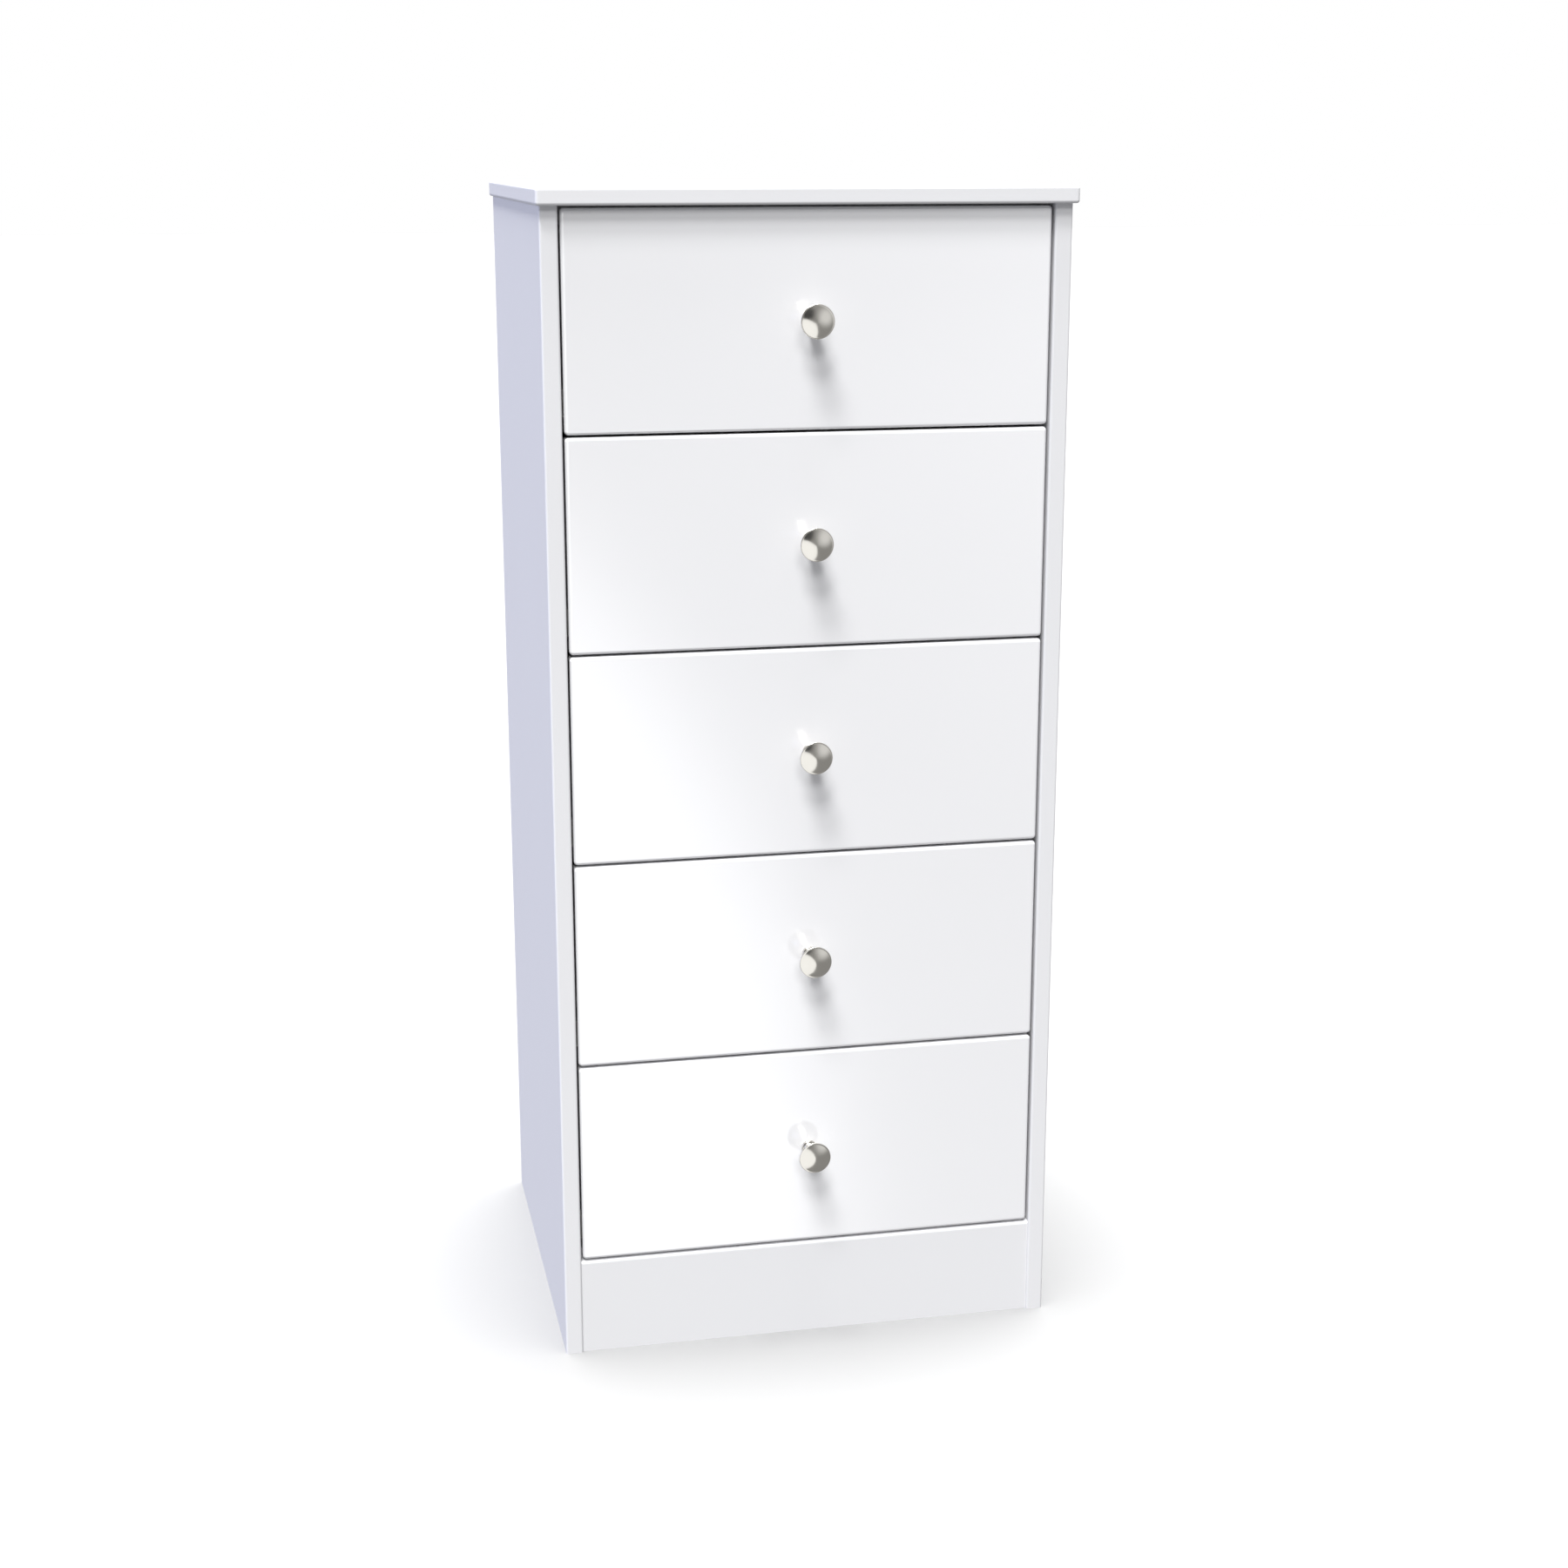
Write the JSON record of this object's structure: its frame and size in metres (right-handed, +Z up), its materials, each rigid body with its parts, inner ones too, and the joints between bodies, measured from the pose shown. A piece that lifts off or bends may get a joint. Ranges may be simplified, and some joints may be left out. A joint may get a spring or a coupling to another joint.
{
  "type": "tall chest of drawers",
  "caption": "Tall narrow white chest with a stack of equal drawers on roller runners, one round metal knob in the middle of each front, side panels running down to the floor and a plinth.",
  "frame": {"origin": "middle of the footprint on the floor, knobs counted in", "axes": "+Z up, -Y out of the drawer fronts, +X to the right seen from the front"},
  "size_m": [0.477, 0.434, 1.075],
  "materials": {
    "white_foil": "board wrapped in smooth satin white foil",
    "drawer_board": "thin board in matt white foil",
    "hardboard": "thin hardboard, painted white on the inner face",
    "beech": "fluted beech dowel",
    "satin_nickel": "satin nickel plated knob",
    "zinc_steel": "bright zinc plated steel",
    "white_enamel": "white epoxy enamel on pressed steel",
    "white_nylon": "white nylon roller"
  },
  "bodies": {
    "carcass": {"top_panel": "white_foil", "left_side_panel": "white_foil", "right_side_panel": "white_foil", "plinth_board": "white_foil", "base_board": "white_foil", "front_stretcher": "white_foil", "rear_stretcher": "white_foil", "back_panel": "hardboard", "carcass_dowels": "beech", "cabinet_runners": "white_enamel"},
    "drawer_1": {"drawer_1_front": "white_foil", "drawer_1_left_side": "drawer_board", "drawer_1_right_side": "drawer_board", "drawer_1_back": "drawer_board", "drawer_1_bottom": "hardboard", "drawer_1_knob": "satin_nickel", "drawer_1_knob_screw": "zinc_steel", "drawer_1_runners": "white_enamel"},
    "drawer_1_rear_roller_pair": {"drawer_1_rear_rollers": "white_nylon"},
    "drawer_1_cabinet_roller_pair": {"drawer_1_cabinet_rollers": "white_nylon"},
    "drawer_2": {"drawer_2_front": "white_foil", "drawer_2_left_side": "drawer_board", "drawer_2_right_side": "drawer_board", "drawer_2_back": "drawer_board", "drawer_2_bottom": "hardboard", "drawer_2_knob": "satin_nickel", "drawer_2_knob_screw": "zinc_steel", "drawer_2_runners": "white_enamel"},
    "drawer_2_rear_roller_pair": {"drawer_2_rear_rollers": "white_nylon"},
    "drawer_2_cabinet_roller_pair": {"drawer_2_cabinet_rollers": "white_nylon"},
    "drawer_3": {"drawer_3_front": "white_foil", "drawer_3_left_side": "drawer_board", "drawer_3_right_side": "drawer_board", "drawer_3_back": "drawer_board", "drawer_3_bottom": "hardboard", "drawer_3_knob": "satin_nickel", "drawer_3_knob_screw": "zinc_steel", "drawer_3_runners": "white_enamel"},
    "drawer_3_rear_roller_pair": {"drawer_3_rear_rollers": "white_nylon"},
    "drawer_3_cabinet_roller_pair": {"drawer_3_cabinet_rollers": "white_nylon"},
    "drawer_4": {"drawer_4_front": "white_foil", "drawer_4_left_side": "drawer_board", "drawer_4_right_side": "drawer_board", "drawer_4_back": "drawer_board", "drawer_4_bottom": "hardboard", "drawer_4_knob": "satin_nickel", "drawer_4_knob_screw": "zinc_steel", "drawer_4_runners": "white_enamel"},
    "drawer_4_rear_roller_pair": {"drawer_4_rear_rollers": "white_nylon"},
    "drawer_4_cabinet_roller_pair": {"drawer_4_cabinet_rollers": "white_nylon"},
    "drawer_5": {"drawer_5_front": "white_foil", "drawer_5_left_side": "drawer_board", "drawer_5_right_side": "drawer_board", "drawer_5_back": "drawer_board", "drawer_5_bottom": "hardboard", "drawer_5_knob": "satin_nickel", "drawer_5_knob_screw": "zinc_steel", "drawer_5_runners": "white_enamel"},
    "drawer_5_rear_roller_pair": {"drawer_5_rear_rollers": "white_nylon"},
    "drawer_5_cabinet_roller_pair": {"drawer_5_cabinet_rollers": "white_nylon"}
  },
  "joints": [
    {"name": "drawer_1_slide", "type": "slide", "parent": "carcass", "child": "drawer_1", "axis": [0, -1, 0], "range_m": [0, 0.26]},
    {"name": "drawer_1_rear_roller_spin", "type": "hinge", "parent": "drawer_1", "child": "drawer_1_rear_roller_pair", "pos_m": [0, 0.165, 0.8907], "axis": [1, 0, 0], "continuous": true},
    {"name": "drawer_1_cabinet_roller_spin", "type": "hinge", "parent": "carcass", "child": "drawer_1_cabinet_roller_pair", "pos_m": [0, -0.155, 0.8989], "axis": [1, 0, 0], "continuous": true},
    {"name": "drawer_2_slide", "type": "slide", "parent": "carcass", "child": "drawer_2", "axis": [0, -1, 0], "range_m": [0, 0.26]},
    {"name": "drawer_2_rear_roller_spin", "type": "hinge", "parent": "drawer_2", "child": "drawer_2_rear_roller_pair", "pos_m": [0, 0.165, 0.6976], "axis": [1, 0, 0], "continuous": true},
    {"name": "drawer_2_cabinet_roller_spin", "type": "hinge", "parent": "carcass", "child": "drawer_2_cabinet_roller_pair", "pos_m": [0, -0.155, 0.7058], "axis": [1, 0, 0], "continuous": true},
    {"name": "drawer_3_slide", "type": "slide", "parent": "carcass", "child": "drawer_3", "axis": [0, -1, 0], "range_m": [0, 0.26]},
    {"name": "drawer_3_rear_roller_spin", "type": "hinge", "parent": "drawer_3", "child": "drawer_3_rear_roller_pair", "pos_m": [0, 0.165, 0.5045], "axis": [1, 0, 0], "continuous": true},
    {"name": "drawer_3_cabinet_roller_spin", "type": "hinge", "parent": "carcass", "child": "drawer_3_cabinet_roller_pair", "pos_m": [0, -0.155, 0.5127], "axis": [1, 0, 0], "continuous": true},
    {"name": "drawer_4_slide", "type": "slide", "parent": "carcass", "child": "drawer_4", "axis": [0, -1, 0], "range_m": [0, 0.26]},
    {"name": "drawer_4_rear_roller_spin", "type": "hinge", "parent": "drawer_4", "child": "drawer_4_rear_roller_pair", "pos_m": [0, 0.165, 0.3114], "axis": [1, 0, 0], "continuous": true},
    {"name": "drawer_4_cabinet_roller_spin", "type": "hinge", "parent": "carcass", "child": "drawer_4_cabinet_roller_pair", "pos_m": [0, -0.155, 0.3196], "axis": [1, 0, 0], "continuous": true},
    {"name": "drawer_5_slide", "type": "slide", "parent": "carcass", "child": "drawer_5", "axis": [0, -1, 0], "range_m": [0, 0.26]},
    {"name": "drawer_5_rear_roller_spin", "type": "hinge", "parent": "drawer_5", "child": "drawer_5_rear_roller_pair", "pos_m": [0, 0.165, 0.1183], "axis": [1, 0, 0], "continuous": true},
    {"name": "drawer_5_cabinet_roller_spin", "type": "hinge", "parent": "carcass", "child": "drawer_5_cabinet_roller_pair", "pos_m": [0, -0.155, 0.1265], "axis": [1, 0, 0], "continuous": true}
  ],
  "couplings": [
    {"joint": "drawer_1_rear_roller_spin", "follows": "drawer_1_slide", "rad_per_m": 117.65},
    {"joint": "drawer_1_cabinet_roller_spin", "follows": "drawer_1_slide", "rad_per_m": 117.65},
    {"joint": "drawer_2_rear_roller_spin", "follows": "drawer_2_slide", "rad_per_m": 117.65},
    {"joint": "drawer_2_cabinet_roller_spin", "follows": "drawer_2_slide", "rad_per_m": 117.65},
    {"joint": "drawer_3_rear_roller_spin", "follows": "drawer_3_slide", "rad_per_m": 117.65},
    {"joint": "drawer_3_cabinet_roller_spin", "follows": "drawer_3_slide", "rad_per_m": 117.65},
    {"joint": "drawer_4_rear_roller_spin", "follows": "drawer_4_slide", "rad_per_m": 117.65},
    {"joint": "drawer_4_cabinet_roller_spin", "follows": "drawer_4_slide", "rad_per_m": 117.65},
    {"joint": "drawer_5_rear_roller_spin", "follows": "drawer_5_slide", "rad_per_m": 117.65},
    {"joint": "drawer_5_cabinet_roller_spin", "follows": "drawer_5_slide", "rad_per_m": 117.65}
  ]
}
